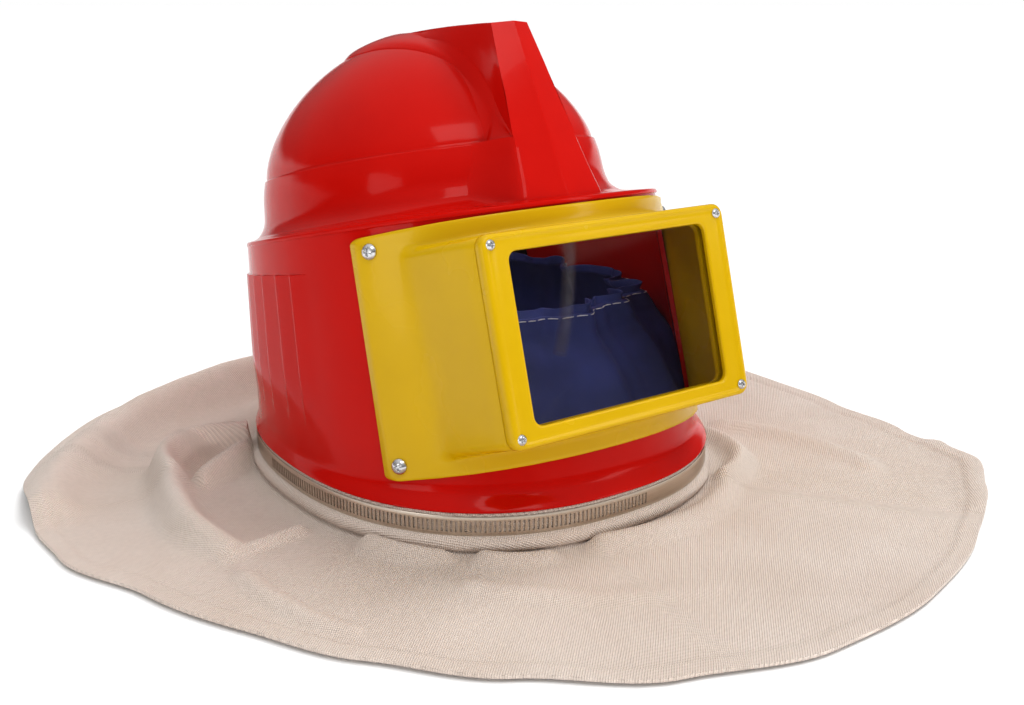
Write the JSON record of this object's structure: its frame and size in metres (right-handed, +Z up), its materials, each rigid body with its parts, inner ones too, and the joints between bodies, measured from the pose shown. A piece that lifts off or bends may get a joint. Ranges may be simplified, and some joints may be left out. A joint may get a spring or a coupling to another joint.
{
  "type": "sandblasting hood",
  "caption": "Moulded blasting hood with a boxed-out front window, a canvas cape clamped round its neck by a slotted band, a gathered inner collar and a short air tube.",
  "frame": {"origin": "middle of the footprint, on the surface the cape lies on", "axes": "+Z up, -Y the way the window looks, -X the wearer's right"},
  "size_m": [0.6054, 0.6378, 0.311],
  "materials": {
    "red_shell": "smooth glossy red moulding",
    "yellow_moulding": "glossy deep yellow moulding with a faint texture",
    "clear_pane": "clear flat pane",
    "bright_screw": "bright plated",
    "steel_band": "bright rolled strip with punched slots",
    "canvas": "plain-woven cotton canvas, cream",
    "navy_cloth": "thin woven cloth with a white stitch line",
    "black_webbing": "dark webbing",
    "clear_tube": "clear soft plastic tube",
    "black_plastic": "plain dark moulding"
  },
  "bodies": {
    "root": {"shell": "red_shell", "window_box": "yellow_moulding", "front_frame": "yellow_moulding", "window_pane": "clear_pane", "face_screw_upper_right": "bright_screw", "face_screw_upper_left": "bright_screw", "face_screw_lower_right": "bright_screw", "face_screw_lower_left": "bright_screw", "flange_screw_upper_right": "bright_screw", "flange_screw_upper_left": "bright_screw", "flange_screw_lower_right": "bright_screw", "flange_screw_lower_left": "bright_screw", "clamp_band": "steel_band", "clamp_housing": "steel_band", "cape": "canvas", "neck_collar": "navy_cloth", "head_strap": "black_webbing", "air_tube": "clear_tube", "tube_socket": "black_plastic"}
  },
  "joints": []
}
